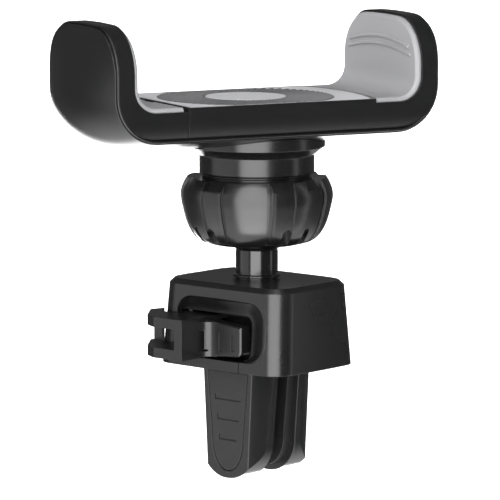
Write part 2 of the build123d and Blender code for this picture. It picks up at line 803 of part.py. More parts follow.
with BuildPart() as socket_collar:
    crown_z = band_z - cover_crown
    with BuildSketch(Plane.XZ):
        with BuildLine():
            top = ball_z + collar_floor + collar_height
            skirt_z = ball_z + skirt_floor
            mouth = sqrt(socket_radius**2 - skirt_floor**2)
            Polyline(
                (0, ball_z + socket_radius), (0, band_z - spigot_gap), (spigot_radius, band_z - spigot_gap),
                (spigot_radius, crown_z + flare_edge), (flare_radius, crown_z + flare_edge),
                (flare_radius, top + flare_drop), (collar_radius, top - collar_turn),
                (collar_radius, ball_z + collar_floor), (skirt_radius, ball_z + collar_floor),
                (skirt_radius, skirt_z), (mouth, skirt_z),
            )
            ThreePointArc(
                (mouth, skirt_z),
                (socket_radius * cos(radians(45)), ball_z + socket_radius * sin(radians(45))),
                (0, ball_z + socket_radius),
            )
        make_face()
    revolve(axis=Axis.Z)
    # Upper face hollowed to the crown of the cover, except for the spigot
    across_cover = Plane(origin=(-2 * flare_radius, 0, band_z), x_dir=(0, 1, 0), z_dir=(1, 0, 0))
    lens = crown_outline(across_cover, cover_half_width, cover_edge, cover_crown)
    extrude(lens, amount=4 * flare_radius, mode=Mode.SUBTRACT)
    with BuildSketch(Plane.XY.offset(crown_z - spigot_root)):
        Circle(spigot_radius)
    extrude(amount=cover_crown + spigot_root - spigot_gap)
    with BuildSketch(Plane.XY.offset(band_z)):
        Circle(screw_radius)
    extrude(amount=-screw_reach, mode=Mode.SUBTRACT)
socket_collar.part.label = "socket_collar"
export_step(socket_collar.part, "parts/socket_collar.step")

with BuildPart() as socket_screw:
    with BuildSketch(Plane.XY.offset(band_z - screw_reach)):
        Circle(screw_radius)
    extrude(amount=plate_floor - screw_head - band_z + screw_reach)
    with BuildSketch(Plane.XY.offset(plate_floor - screw_head)):
        Circle(screw_head_radius)
    extrude(amount=screw_head)
    with BuildSketch(Plane.XY.offset(plate_floor)):
        Rectangle(cross_width, cross_length)
        Rectangle(cross_length, cross_width)
    extrude(amount=-screw_head / 2, mode=Mode.SUBTRACT)
socket_screw.part.label = "socket_screw"
export_step(socket_screw.part, "parts/socket_screw.step")

with BuildPart() as lock_nut:
    bore = skirt_radius + thread_clearance
    mouth = sqrt(socket_radius**2 - nut_floor**2)
    waist = [
        (nut_shoulder_radius, nut_shoulder), (nut_radius, nut_widest), (nut_belly_radius, nut_belly),
        (nut_hip_radius, nut_hip),
    ]
    with BuildSketch(Plane.XZ):
        with BuildLine():
            Polyline((bore, nut_top), (nut_lip_radius, nut_top))
            Spline(
                (nut_lip_radius, nut_top), *waist, (nut_foot_radius, nut_foot), (nut_mouth_radius, nut_floor)
            )
            Polyline((nut_mouth_radius, nut_floor), (mouth, nut_floor))
            ThreePointArc(
                (mouth, nut_floor),
                (socket_radius * cos(radians(-18)), socket_radius * sin(radians(-18))),
                (socket_radius, 0),
            )
            Polyline((socket_radius, 0), (socket_radius, nut_step), (bore, nut_step), (bore, nut_top))
        make_face()
    revolve(axis=Axis.Z)
    # Mirrored pairs, a quarter turn apart, that follow the outline all the way down: a hollow
    # between groove and crease, the groove's rim and the groove itself
    for quarter in range(4):
        panel_angle = nut_view_angle + nut_panel_middle + 90 * quarter
        for side in (-1, 1):
            hollow_arc = nut_crease_angle - nut_panel_half_angle
            for middle, arc, depth, lip in (
                (nut_panel_half_angle + hollow_arc / 2, hollow_arc, nut_hollow, nut_hollow_bevel),
                (nut_panel_half_angle, nut_rim_angle, nut_groove_step, nut_groove_step),
                (nut_panel_half_angle, nut_groove_angle, nut_groove_depth, nut_groove_depth),
            ):
                inner = [(r - depth, z) for r, z in waist]
                start = panel_angle + side * middle - arc / 2
                with BuildSketch(Plane.XZ.rotated((0, 0, start))):
                    with BuildLine():
                        foot = (nut_foot_radius - depth / 2, nut_foot)
                        Line((nut_lip_radius - lip, nut_top), inner[0])
                        Spline(*inner, foot)
                        Polyline(
                            foot, (nut_radius + 1, nut_foot), (nut_radius + 1, nut_top),
                            (nut_lip_radius - lip, nut_top),
                        )
                    make_face()
                revolve(axis=Axis.Z, revolution_arc=arc, mode=Mode.SUBTRACT)
            # A U-shaped pocket at the foot of each wide panel
            a = radians(panel_angle + side * nut_pocket_angle)
            upright = Plane(origin=(0, 0, 0), x_dir=(-sin(a), cos(a), 0), z_dir=(cos(a), sin(a), 0))
            with BuildSketch(upright.offset(nut_pocket_floor)):
                with Locations((0, nut_pocket_rise)):
                    SlotOverall(nut_pocket_height, nut_pocket_width, rotation=90)
            extrude(amount=nut_pocket_height, mode=Mode.SUBTRACT)
nut_part = lock_nut.part.moved(Location((0, 0, ball_z)))
nut_part.label = "lock_nut"
export_step(nut_part, "parts/lock_nut.step")


# Cradle
def cover_solid(side, start):
    """Hollow crowned cover, round the corner and up the outside of a jaw."""
    outer = cradle_middle + side * cradle_half_length
    lean = outer + side * cover_crown
    plane = Plane(origin=(start, 0, band_z), x_dir=(0, 1, 0), z_dir=(side, 0, 0))
    shells = []
    for width, edge, crown in (
        (cover_half_width, cover_edge, cover_crown),
        (cover_half_width - cover_side_wall, 0.0, cover_crown - cover_wall),
    ):
        with BuildPart() as swept:
            with BuildLine():
                FilletPolyline(
                    (start, 0, band_z), (outer, 0, band_z), (outer, 0, jaw_top_z + 1), radius=outer_corner
                )
            add(crown_outline(plane, width, edge, crown, side))
            sweep()
        shells.append(swept.part)
    with BuildPart() as hollow:
        add(shells[1])
        with BuildSketch(Plane.XY.offset(band_z - 2 * cover_crown)):
            Rectangle(4 * cradle_half_length, cradle_depth)
        extrude(amount=2 * cover_crown + cover_wall, mode=Mode.INTERSECT)
    with BuildPart() as cover:
        add(shells[0])
        add(hollow.part, mode=Mode.SUBTRACT)
        # Thins out towards the top of the jaw
        with BuildSketch(Plane.XZ):
            low = band_z - 2 * cover_crown
            Polygon(
                (start, low), (lean, low), (lean, band_z + cover_lean_rise),
                (outer + side * cover_top_reach, jaw_top_z), (start, jaw_top_z), align=None,
            )
        extrude(amount=cradle_depth, both=True, mode=Mode.INTERSECT)
        add(side_trim(cover_inset), mode=Mode.INTERSECT)
    return cover.part


# Fixed body of the cradle, open underneath, with the right jaw
with BuildPart() as cradle_frame:
    extrude(jaw_band(1, body_left, floor_z), amount=half_depth, both=True)
    add(side_trim(), mode=Mode.INTERSECT)
    extrude(platform_outline(floor_z - 1, 0, body_left), amount=deck_rise - floor_rise + 1)
    extrude(platform_outline(deck_z, platform_rim, body_left + platform_rim), amount=-plate_wall,
            mode=Mode.SUBTRACT)
    # Cavity for the jaw's arms and springs, and their slot in the end wall
    cavity_start, cavity_end = seam_x + cavity_end_wall, right_x - cavity_right
    with BuildSketch(Plane.XY.offset(band_z)):
        with Locations(((cavity_start + cavity_end) / 2, 0)):
            RectangleRounded(cavity_end - cavity_start, cradle_depth - 2 * cavity_side, cavity_corner)
    extrude(amount=deck_under - band_z, mode=Mode.SUBTRACT)
    with BuildSketch(Plane.YZ.offset(body_left - 1)):
        with Locations((0, deck_under)):
            Rectangle(tongue_width + 2 * tongue_play, tongue_height + 2 * tongue_play,
                      align=(Align.CENTER, Align.MAX))
    extrude(amount=cavity_end_wall + 2.4, mode=Mode.SUBTRACT)
    # Post for the socket screw, and two anchors for the springs
    with BuildSketch(Plane.XY.offset(deck_under + 0.1)):
        Circle(post_radius)
    extrude(amount=band_z - deck_under - 0.2)
    with BuildSketch(Plane.XY.offset(deck_under + 0.1)):
        with Locations((anchor_x, arm_y), (anchor_x, -arm_y)):
            Circle(anchor_radius)
    extrude(amount=-anchor_drop)
    with BuildSketch(Plane.XY.offset(plate_floor)):
        Circle(screw_head_radius + screw_play)
    extrude(amount=-screw_head, mode=Mode.SUBTRACT)
    with BuildSketch(Plane.XY.offset(deck_z)):
        Circle(screw_radius + screw_play)
    extrude(amount=-deck_rise - 1, mode=Mode.SUBTRACT)
cradle_frame.part.label = "cradle_frame"
export_step(cradle_frame.part, "parts/cradle_frame.step")

with BuildPart() as back_cover:
    add(cover_solid(1, body_left))
    with BuildSketch(Plane.XY.offset(band_z + 1)):
        Circle(spigot_radius + spigot_gap)
    extrude(amount=-3 * cover_crown, mode=Mode.SUBTRACT)
back_cover.part.label = "back_cover"
export_step(back_cover.part, "parts/back_cover.step")

# Sliding jaw with its two arms
with BuildPart() as sliding_jaw_frame:
    extrude(jaw_band(-1, jaw_right, floor_z), amount=half_depth, both=True)
    add(side_trim(), mode=Mode.INTERSECT)
    core_start, core_end = left_x + jaw_end_wall, jaw_right - jaw_seam_wall
    with BuildSketch(Plane.XY.offset(band_z)):
        with Locations(((core_start + core_end) / 2, 0)):
            RectangleRounded(core_end - core_start, cradle_depth - 2 * jaw_side_wall, jaw_core_corner)
    extrude(amount=floor_rise - jaw_floor_wall, mode=Mode.SUBTRACT)
    with BuildSketch(Plane.XY.offset(deck_under - tongue_play - tongue_height)):
        with Locations((jaw_right - tongue_root, arm_y), (jaw_right - tongue_root, -arm_y)):
            Rectangle(tongue_end - jaw_right + tongue_root, (tongue_width - tongue_gap) / 2,
                      align=(Align.MIN, Align.CENTER))
    extrude(amount=tongue_height)
sliding_jaw_frame.part.label = "sliding_jaw_frame"
export_step(sliding_jaw_frame.part, "parts/sliding_jaw_frame.step")

sliding_jaw_cover = cover_solid(-1, jaw_right)
sliding_jaw_cover.label = "sliding_jaw_cover"
export_step(sliding_jaw_cover, "parts/sliding_jaw_cover.step")

with BuildPart() as return_springs:
    for y in (-arm_y, arm_y):
        add(coil((tongue_end, y, spring_z), (1, 0, 0), anchor_x - anchor_radius - tongue_end,
                 spring_radius - spring_wire / 2, spring_wire, 8))
return_springs.part.label = "return_springs"
export_step(return_springs.part, "parts/return_springs.step")


# Platform plate with its ring and disc
def inlay_outline(height, radius):
    """Round inlay, trimmed to the platform's edges."""
    with BuildSketch(Plane.XY.offset(height)) as outline:
        with Locations((ring_centre, 0)):
            Circle(radius)
            Rectangle(4 * radius, cradle_depth - 2 * (platform_rim + ring_edge), mode=Mode.INTERSECT)
    return outline.sketch


with BuildPart() as platform_plate:
    extrude(platform_outline(deck_z, platform_rim, body_left + platform_rim), amount=-plate_wall)
    extrude(inlay_outline(deck_z, ring_radius), amount=-inlay_depth, mode=Mode.SUBTRACT)
platform_plate.part.label = "platform_plate"
export_step(platform_plate.part, "parts/platform_plate.step")

with BuildPart() as grip_ring:
    extrude(inlay_outline(deck_z - inlay_depth, ring_radius), amount=inlay_depth + inlay_proud)
    with BuildSketch(Plane.XY.offset(deck_z - inlay_depth)):
        with Locations((ring_centre, 0)):
            Circle(disc_radius)
    extrude(amount=2, mode=Mode.SUBTRACT)
    with BuildSketch(Plane.XY.offset(deck_z + inlay_proud)):
        with Locations((ring_centre, 0)):
            with PolarLocations((disc_radius + 1.5 + ring_radius) / 2, ring_teeth):
                Rectangle(ring_radius - disc_radius - ring_tooth_inset, ring_tooth_gap)
    extrude(amount=-ring_tooth_depth, mode=Mode.SUBTRACT)
grip_ring.part.label = "grip_ring"
export_step(grip_ring.part, "parts/grip_ring.step")

with BuildPart() as centre_disc:
    with BuildSketch(Plane.XY.offset(deck_z - inlay_depth)):
        with Locations((ring_centre, 0)):
            Circle(disc_radius)
    extrude(amount=inlay_depth + inlay_proud)
centre_disc.part.label = "centre_disc"
export_step(centre_disc.part, "parts/centre_disc.step")


# Rubber pads that line the two jaws
def jaw_pad(side, start):
    """L-shaped pad on the inner faces of one jaw, with a bevelled rim and two arched ridges."""
    inner = cradle_middle + side * (cradle_half_length - jaw_wall)
    face = inner - side * pad_proud
    reach = jaw_top_z + 1
    with BuildPart() as pad:
        with BuildSketch(Plane.XZ):
            with BuildLine():
                FilletPolyline((start, floor_z), (inner, floor_z), (inner, reach), radius=inner_corner)
                Polyline((inner, reach), (face, reach))
                FilletPolyline(
                    (face, reach), (face, floor_z + floor_proud), (start, floor_z + floor_proud),
                    radius=inner_corner - floor_proud,
                )
                Line((start, floor_z + floor_proud), (start, floor_z))
            make_face()
        extrude(amount=half_depth - pad_margin, both=True)
        add(side_trim(pad_margin), mode=Mode.INTERSECT)
        gripping = pad.faces().filter_by(Axis.X).sort_by_distance((face, 0, jaw_top_z))[0]
        lowest = pad.faces().filter_by(Axis.Z).sort_by_distance((start, 0, floor_z + floor_proud))[0]
        rounded = pad.faces().filter_by(GeomType.CYLINDER).filter_by(
            lambda f: abs(f.geom_adaptor().Cylinder().Radius() - inner_corner + floor_proud) < 0.01
        )[0]
        rim = [
            e for f in (gripping, lowest, rounded) for e in f.edges()
            if sum(e.is_same(o) for g in (gripping, lowest, rounded) for o in g.edges()) == 1
            and abs(e.center().X - start) > 0.01
        ]
        chamfer(rim, pad_bevel)
        # Ridges, apex in the middle of the jaw
        for drop in ridge_drops:
            apex = jaw_top_z - drop
            low, half = apex - ridge_arch, ridge_half_width + 0.5 * (drop - ridge_drops[0])
            under = low - ridge_width
            with BuildSketch(Plane.YZ.offset(face)):
                with BuildLine():
                    ThreePointArc((-half, low), (0, apex), (half, low))
                    Line((half, low), (half, under))
                    ThreePointArc((half, under), (0, apex - ridge_width), (-half, under))
                    Line((-half, under), (-half, low))
                make_face()
            extrude(amount=-side * ridge_height)
    return pad.part


with BuildPart() as fixed_jaw_pad:
    add(jaw_pad(1, platform_end))
    extrude(platform_outline(floor_z, -0.1, 0), amount=3, mode=Mode.SUBTRACT)
fixed_jaw_pad.part.label = "fixed_jaw_pad"
export_step(fixed_jaw_pad.part, "parts/fixed_jaw_pad.step")

with BuildPart() as sliding_jaw_pad:
    add(jaw_pad(-1, seam_x - pad_seam_inset))
    # Small notch at the seam
    with BuildSketch(Plane.XY.offset(floor_z)):
        with Locations((seam_x - pad_seam_inset, 0)):
            Rectangle(pad_notch_length, pad_notch_width)
    extrude(amount=2, mode=Mode.SUBTRACT)
sliding_jaw_pad.part.label = "sliding_jaw_pad"
export_step(sliding_jaw_pad.part, "parts/sliding_jaw_pad.step")
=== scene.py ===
import json
import math

import bmesh
import bpy
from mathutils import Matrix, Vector


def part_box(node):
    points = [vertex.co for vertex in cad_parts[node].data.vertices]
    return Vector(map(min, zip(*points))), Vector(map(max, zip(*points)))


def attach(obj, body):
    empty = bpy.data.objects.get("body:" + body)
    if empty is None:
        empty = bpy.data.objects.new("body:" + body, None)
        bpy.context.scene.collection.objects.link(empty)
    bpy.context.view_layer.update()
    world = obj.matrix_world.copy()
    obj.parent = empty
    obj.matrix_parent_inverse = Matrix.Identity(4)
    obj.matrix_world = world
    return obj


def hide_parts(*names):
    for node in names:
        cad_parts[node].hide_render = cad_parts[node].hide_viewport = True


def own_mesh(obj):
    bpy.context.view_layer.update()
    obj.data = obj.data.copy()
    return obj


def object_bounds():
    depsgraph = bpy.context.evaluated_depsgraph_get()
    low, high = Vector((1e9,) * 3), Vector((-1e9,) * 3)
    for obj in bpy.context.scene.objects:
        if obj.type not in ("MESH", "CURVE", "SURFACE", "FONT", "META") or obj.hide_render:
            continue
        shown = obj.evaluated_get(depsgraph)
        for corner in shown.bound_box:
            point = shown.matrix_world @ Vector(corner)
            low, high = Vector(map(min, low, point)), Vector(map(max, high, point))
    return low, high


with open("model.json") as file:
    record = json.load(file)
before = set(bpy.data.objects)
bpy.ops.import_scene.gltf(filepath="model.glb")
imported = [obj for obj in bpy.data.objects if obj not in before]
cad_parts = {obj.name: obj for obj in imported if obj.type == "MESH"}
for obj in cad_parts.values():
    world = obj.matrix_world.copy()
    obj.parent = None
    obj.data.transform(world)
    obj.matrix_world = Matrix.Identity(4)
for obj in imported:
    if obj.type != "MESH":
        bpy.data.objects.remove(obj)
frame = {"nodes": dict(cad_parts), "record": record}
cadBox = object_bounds()
nodes = frame["nodes"]
mm = 0.001
print("frame loaded:", len(nodes), "nodes")

scene = bpy.context.scene
scene.view_settings.view_transform = "Standard"
scene.view_settings.look = "None"


# Level directions at an angle round the main axis, where 0 faces -Y
def aheadOf(degrees):
    a = math.radians(degrees)
    return Vector((math.sin(a), -math.cos(a), 0))


def acrossOf(degrees):
    a = math.radians(degrees)
    return Vector((math.cos(a), math.sin(a), 0))


# Camera
cameraSetup = {
    "azimuth": -27.0,  # degrees round the main axis
    "reach": 850 * mm,  # level distance from the main axis
    "height": 149.65 * mm,
    "aimSide": -1.4 * mm,  # where the picture's middle meets the main axis
    "aimHeight": 35.5 * mm,
    "lens": 296.4,
    "nearest": 0.05,
    "farthest": 20,
}


def makeCamera(setup):
    data = bpy.data.cameras.new("studioCamera")
    data.lens = setup["lens"]
    data.clip_start = setup["nearest"]
    data.clip_end = setup["farthest"]
    place = aheadOf(setup["azimuth"]) * setup["reach"]
    place.z = setup["height"]
    aim = acrossOf(setup["azimuth"]) * setup["aimSide"]
    aim.z = setup["aimHeight"]
    camera = bpy.data.objects.new("studioCamera", data)
    camera.location = place
    camera.rotation_mode = "QUATERNION"
    camera.rotation_quaternion = (aim - place).to_track_quat("-Z", "Y")
    scene.collection.objects.link(camera)
    scene.camera = camera


makeCamera(cameraSetup)
print("camera placed")


# Pale floor, a wide round dish that the studio light washes out
floorSetup = {
    "gap": 1.5 * mm,
    "middle": 0.4,
    "radius": 1.5,
    "sweep": 0.9,
    "rim": 1.6,
    "glow": 0.75,
    "sweepSteps": 16,
    "sides": 64,
}


def floorProfile(setup, level):
    radius, sweep, steps = setup["radius"], setup["sweep"], setup["sweepSteps"]
    profile = [(setup["middle"], level), (radius, level)]
    for step in range(1, steps + 1):
        t = math.pi / 2 * step / steps
        profile.append((radius + sweep * math.sin(t), level + sweep * (1 - math.cos(t))))
    profile.append((profile[-1][0], level + sweep + setup["rim"]))
    return profile


def makeFloor(setup):
    level = cadBox[0].z - setup["gap"]
    profile = floorProfile(setup, level)
    sides = setup["sides"]
    verts = [Vector((0, 0, level))]
    for r, z in profile:
        for side in range(sides):
            t = 2 * math.pi * side / sides
            verts.append(Vector((r * math.cos(t), r * math.sin(t), z)))
    faces = [(0, 1 + side, 1 + (side + 1) % sides) for side in range(sides)]
    for row in range(len(profile) - 1):
        for side in range(sides):
            low, high = 1 + row * sides, 1 + (row + 1) * sides
            nextSide = (side + 1) % sides
            faces.append((low + side, high + side, high + nextSide, low + nextSide))
    mesh = bpy.data.meshes.new("paleFloor")
    mesh.from_pydata(verts, [], faces)
    mesh.shade_smooth()
    floor = bpy.data.objects.new("paleFloor", mesh)
    floor.visible_glossy = False
    scene.collection.objects.link(floor)
    paint = bpy.data.materials.new("floorPaint")
    paint.use_nodes = True
    shader = paint.node_tree.nodes["Principled BSDF"]
    shader.inputs["Base Color"].default_value = (0.93, 0.93, 0.93, 1)
    shader.inputs["Roughness"].default_value = 0.9
    shader.inputs["Specular IOR Level"].default_value = 0.1
    shader.inputs["Emission Color"].default_value = (1, 1, 1, 1)
    shader.inputs["Emission Strength"].default_value = setup["glow"]
    mesh.materials.append(paint)


makeFloor(floorSetup)


# Light: soft boxes round the object, open to reflections below the floor.
# "glow" is how bright a box looks from the object.
lightSetup = {
    "keyBox": {"azimuth": -33, "height": 0.0, "away": 1.0, "size": (1.02, 3.0), "glow": 5.6},
    "leftBox": {"azimuth": -98, "height": 0.0, "away": 1.05, "size": (1.1, 1.9), "glow": 0.95},
    "rightStrip": {"azimuth": 58, "height": 0.0, "away": 1.0, "size": (0.16, 1.9), "glow": 1.3},
    "rearBox": {"azimuth": 157, "height": -0.46, "away": 1.0, "size": (0.5, 0.85), "glow": 6.0},
    "topBox": {"azimuth": -60, "height": 1.0, "away": 0.3, "size": (0.8, 0.8), "glow": 1.8},
}
lightAim = Vector((0, 0, 0.035))

# The sky fades into a bright ground between two heights of the view direction
worldSetup = {"sky": 0.1, "ground": 2.0, "groundStart": -0.3, "groundFull": -0.9}


def makeLights(setup):
    for name, box in setup.items():
        data = bpy.data.lights.new(name, "AREA")
        data.shape = "RECTANGLE"
        data.size, data.size_y = box["size"]
        data.energy = box["glow"] * math.pi * data.size * data.size_y
        light = bpy.data.objects.new(name, data)
        a = math.radians(box["azimuth"])
        light.location = (math.sin(a) * box["away"], -math.cos(a) * box["away"], box["height"])
        light.rotation_mode = "QUATERNION"
        light.rotation_quaternion = (lightAim - light.location).to_track_quat("-Z", "Y")
        scene.collection.objects.link(light)


def makeWorld(setup):
    world = bpy.data.worlds.new("studioWorld")
    world.use_nodes = True
    tree = world.node_tree
    way = tree.nodes.new("ShaderNodeTexCoord")
    split = tree.nodes.new("ShaderNodeSeparateXYZ")
    fade = tree.nodes.new("ShaderNodeMapRange")
    fade.interpolation_type = "SMOOTHSTEP"
    fade.inputs["From Min"].default_value = setup["groundFull"]
    fade.inputs["From Max"].default_value = setup["groundStart"]
    fade.inputs["To Min"].default_value = setup["ground"]
    fade.inputs["To Max"].default_value = setup["sky"]
    tree.links.new(way.outputs["Generated"], split.inputs["Vector"])
    tree.links.new(split.outputs["Z"], fade.inputs["Value"])
    back = tree.nodes["Background"]
    back.inputs["Color"].default_value = (1, 1, 1, 1)
    tree.links.new(fade.outputs["Result"], back.inputs["Strength"])
    scene.world = world


makeLights(lightSetup)
makeWorld(worldSetup)
print("floor and lights done")


# Shader group for every surface: fine grain, uneven gloss, rounded edges, and a painted highlight (paler
# colour) where edges turn
skinSetup = {
    "grainDetail": 3,
    "grainRoughness": 0.6,
    "cloudScale": 70,  # patches of more or less gloss
    "cloudDetail": 4,
    "edgeSamples": 6,
    "highlightStart": 0.99,  # how far the normal has turned, as a cosine
    "highlightFull": 0.85,
    "bumpDistance": 0.0002,
}


def newGroup(name, inputs, outputs):
    group = bpy.data.node_groups.new(name, "ShaderNodeTree")
    for label, kind, value in inputs:
        socket = group.interface.new_socket(label, in_out="INPUT", socket_type=kind)
        socket.default_value = value
    for label, kind in outputs:
        group.interface.new_socket(label, in_out="OUTPUT", socket_type=kind)
    return group, group.nodes.new("NodeGroupInput"), group.nodes.new("NodeGroupOutput")


def makeMouldedSkin(setup):
    group, enter, leave = newGroup(
        "mouldedSkin",
        [
            ("Colour", "NodeSocketColor", (0.03, 0.03, 0.03, 1)),
            ("Painted Highlight Colour", "NodeSocketColor", (0.09, 0.09, 0.09, 1)),
            ("Edge Radius", "NodeSocketFloat", 0.0003),
            ("Grain Size", "NodeSocketFloat", 5200.0),
            ("Grain Depth", "NodeSocketFloat", 0.05),
            ("Smoothest", "NodeSocketFloat", 0.3),
            ("Roughest", "NodeSocketFloat", 0.42),
            ("Painted Highlight", "NodeSocketFloat", 0.5),
        ],
        [
            ("Colour", "NodeSocketColor"),
            ("Roughness", "NodeSocketFloat"),
            ("Normal", "NodeSocketVector"),
        ],
    )
    make, link = group.nodes.new, group.links.new
    place = make("ShaderNodeTexCoord")
    grain = make("ShaderNodeTexNoise")
    grain.inputs["Detail"].default_value = setup["grainDetail"]
    grain.inputs["Roughness"].default_value = setup["grainRoughness"]
    link(place.outputs["Object"], grain.inputs["Vector"])
    link(enter.outputs["Grain Size"], grain.inputs["Scale"])
    cloud = make("ShaderNodeTexNoise")
    cloud.inputs["Scale"].default_value = setup["cloudScale"]
    cloud.inputs["Detail"].default_value = setup["cloudDetail"]
    link(place.outputs["Object"], cloud.inputs["Vector"])
    gloss = make("ShaderNodeMix")
    gloss.data_type = "FLOAT"
    link(cloud.outputs["Fac"], gloss.inputs["Factor"])
    link(enter.outputs["Smoothest"], gloss.inputs["A"])
    link(enter.outputs["Roughest"], gloss.inputs["B"])
    link(gloss.outputs["Result"], leave.inputs["Roughness"])
    # Edges look rounded, and where they turn the colour is paler: a painted edge highlight
    soften = make("ShaderNodeBevel")
    soften.samples = setup["edgeSamples"]
    link(enter.outputs["Edge Radius"], soften.inputs["Radius"])
    shape = make("ShaderNodeNewGeometry")
    turn = make("ShaderNodeVectorMath")
    turn.operation = "DOT_PRODUCT"
    link(soften.outputs["Normal"], turn.inputs[0])
    link(shape.outputs["Normal"], turn.inputs[1])
    edge = make("ShaderNodeMapRange")
    edge.inputs["From Min"].default_value = setup["highlightStart"]
    edge.inputs["From Max"].default_value = setup["highlightFull"]
    link(turn.outputs["Value"], edge.inputs["Value"])
    paintedHighlight = make("ShaderNodeMath")
    paintedHighlight.operation = "MULTIPLY"
    link(edge.outputs["Result"], paintedHighlight.inputs[0])
    link(enter.outputs["Painted Highlight"], paintedHighlight.inputs[1])
    # A Mix node's colours go in at sockets 6 and 7 and come out at 2
    # Mixes the painted edge highlight colour in where edges turn
    tint = make("ShaderNodeMix")
    tint.data_type = "RGBA"
    link(paintedHighlight.outputs["Value"], tint.inputs["Factor"])
    link(enter.outputs["Colour"], tint.inputs[6])
    link(enter.outputs["Painted Highlight Colour"], tint.inputs[7])
    link(tint.outputs[2], leave.inputs["Colour"])
    bump = make("ShaderNodeBump")
    bump.inputs["Distance"].default_value = setup["bumpDistance"]
    link(enter.outputs["Grain Depth"], bump.inputs["Strength"])
    link(grain.outputs["Fac"], bump.inputs["Height"])
    link(soften.outputs["Normal"], bump.inputs["Normal"])
    link(bump.outputs["Normal"], leave.inputs["Normal"])
    return group


skinGroup = makeMouldedSkin(skinSetup)

# "rough" is the smoothest and the roughest patch, "edge" the radius of edges in mm
plainFinish = {"grain": 0.04, "coat": 0.1, "metal": 0, "shine": 0.5}
finishes = {
    "housing_plastic": {"colour": 0.004, "rough": (0.24, 0.32), "coat": 0.15, "edge": 0.35},
    "ball_plastic": {"colour": 0.004, "rough": (0.14, 0.18), "grain": 0.015, "coat": 0.3, "edge": 0.2},
    "steel": {"colour": 0.05, "rough": (0.4, 0.5), "grain": 0.05, "coat": 0, "metal": 1, "edge": 0.1},
    "lever_plastic": {"colour": 0.0045, "rough": (0.26, 0.34), "edge": 0.14},
    "paddle_plastic": {"colour": 0.005, "rough": (0.26, 0.36), "grain": 0.05, "edge": 0.35},
    "clip_rubber": {"colour": 0.006, "rough": (0.5, 0.6), "grain": 0.08, "coat": 0, "edge": 0.2},
    "grip_rubber": {"colour": 0.008, "rough": (0.4, 0.5), "grain": 0.08, "coat": 0, "edge": 0.15},
    "liner_plastic": {"colour": 0.01, "rough": (0.4, 0.5), "coat": 0, "edge": 0.1},
    "collar_plastic": {"colour": 0.004, "rough": (0.22, 0.3), "coat": 0.15, "edge": 0.25},
    "cover_plastic": {"colour": 0.004, "rough": (0.3, 0.38), "grain": 0.05, "edge": 0.3},
    "cradle_plastic": {"colour": 0.004, "rough": (0.26, 0.34), "edge": 0.12},
    "platform_plastic": {"colour": 0.36, "rough": (0.3, 0.4), "coat": 0, "edge": 0.1, "shine": 0.15},
    "ring_rubber": {
        "colour": 0.085, "rough": (0.5, 0.6), "grain": 0.08, "coat": 0, "edge": 0.1, "shine": 0.15,
    },
    "disc_metal": {"colour": 0.3, "rough": (0.4, 0.5), "coat": 0, "edge": 0.1, "shine": 0.1},
    "pale_rubber": {"colour": 0.17, "rough": (0.45, 0.55), "grain": 0.06, "coat": 0, "edge": 0.3},
    "nut_plastic": {"colour": 0.004, "rough": (0.2, 0.28), "grain": 0.02, "coat": 0.12, "edge": 0.15},
}
finishSetup = {
    "grainSize": 5200,
    "highlightGain": 1.4,  # painted edge highlights are this much paler than the skin
    "highlightLift": 0.001,
    "highlightLimit": 0.9,
    "blueTint": 1.03,
    "coatRough": 0.15,
    "keeperEdge": 0.08,  # sharper than the housing, beside its narrow seams
}


def makeFinish(name, finish, setup):
    spec = {**plainFinish, **finish}
    material = bpy.data.materials.new(name + "Finish")
    material.use_nodes = True
    tree = material.node_tree
    shader = tree.nodes["Principled BSDF"]
    skin = tree.nodes.new("ShaderNodeGroup")
    skin.node_tree = skinGroup
    grey = spec["colour"]
    # Paler grey for the painted edge highlight
    paintedHighlight = min(setup["highlightLimit"], grey * setup["highlightGain"] + setup["highlightLift"])
    skin.inputs["Colour"].default_value = (grey, grey, grey * setup["blueTint"], 1)
    skin.inputs["Painted Highlight Colour"].default_value = (paintedHighlight, paintedHighlight, paintedHighlight, 1)
    skin.inputs["Edge Radius"].default_value = spec["edge"] * mm
    skin.inputs["Grain Size"].default_value = setup["grainSize"]
    skin.inputs["Grain Depth"].default_value = spec["grain"]
    skin.inputs["Smoothest"].default_value, skin.inputs["Roughest"].default_value = spec["rough"]
    tree.links.new(skin.outputs["Colour"], shader.inputs["Base Color"])
    tree.links.new(skin.outputs["Roughness"], shader.inputs["Roughness"])
    tree.links.new(skin.outputs["Normal"], shader.inputs["Normal"])
    shader.inputs["Metallic"].default_value = spec["metal"]
    shader.inputs["Specular IOR Level"].default_value = spec["shine"]
    shader.inputs["Coat Weight"].default_value = spec["coat"]
    shader.inputs["Coat Roughness"].default_value = setup["coatRough"]
    return material


made = {name: makeFinish(name, finish, finishSetup) for name, finish in finishes.items()}
keeperFinish = makeFinish(
    "keeper", {**finishes["housing_plastic"], "edge": finishSetup["keeperEdge"]}, finishSetup
)
slots = {entry["node"]: entry["material_slot"] for entry in frame["record"]["subparts"]}
for name, obj in nodes.items():
    obj.data.materials.clear()
    obj.data.materials.append(keeperFinish if name == "lever_keeper" else made[slots[name]])
print("finishes made:", len(finishes))


# Helpers for the pieces
def addPiece(name, mesh, body, slotName, *replaced):
    if not mesh.materials:
        mesh.materials.append(made[slotName])
    piece = bpy.data.objects.new(name, mesh)
    scene.collection.objects.link(piece)
    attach(piece, body)
    if replaced:
        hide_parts(*replaced)
    return piece


def closeMesh(mesh, name, sharpAngle=None):
    bmesh.ops.recalc_face_normals(mesh, faces=mesh.faces)
    closed = bpy.data.meshes.new(name)
    mesh.to_mesh(closed)
    mesh.free()
    if sharpAngle:
        closed.shade_smooth()
        closed.set_sharp_from_angle(angle=math.radians(sharpAngle))
    return closed


def lineMesh(name, points):
    mesh = bpy.data.meshes.new(name)
    mesh.from_pydata(points, [(i, i + 1) for i in range(len(points) - 1)], [])
    return mesh


